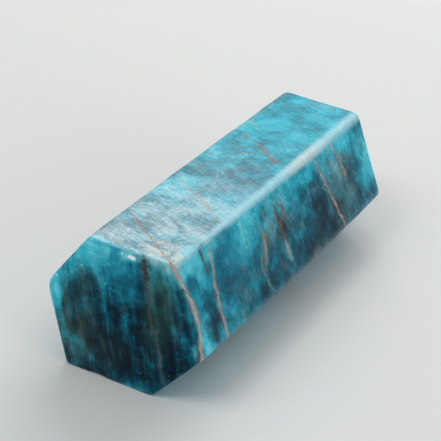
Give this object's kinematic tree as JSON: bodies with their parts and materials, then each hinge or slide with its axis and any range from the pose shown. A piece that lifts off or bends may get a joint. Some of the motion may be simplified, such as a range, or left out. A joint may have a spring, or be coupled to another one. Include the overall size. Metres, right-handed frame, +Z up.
{
  "type": "apatite wand",
  "caption": "Polished blue apatite wand: a six-sided bar of veined stone with a flat-cut base and a blunt six-sided point, lying on one long facet.",
  "frame": {"origin": "on the surface that the wand lies on, under the middle of its bounding box", "axes": "+X along the wand from its flat base to its point, +Z up, and -Y out of the side that shows with the base on the left"},
  "size_m": [0.0926, 0.0292, 0.0242],
  "materials": {
    "polished_apatite": "polished, milky teal-blue with thin cream and orange-brown veins"
  },
  "bodies": {
    "root": {"apatite_wand": "polished_apatite"}
  },
  "joints": []
}
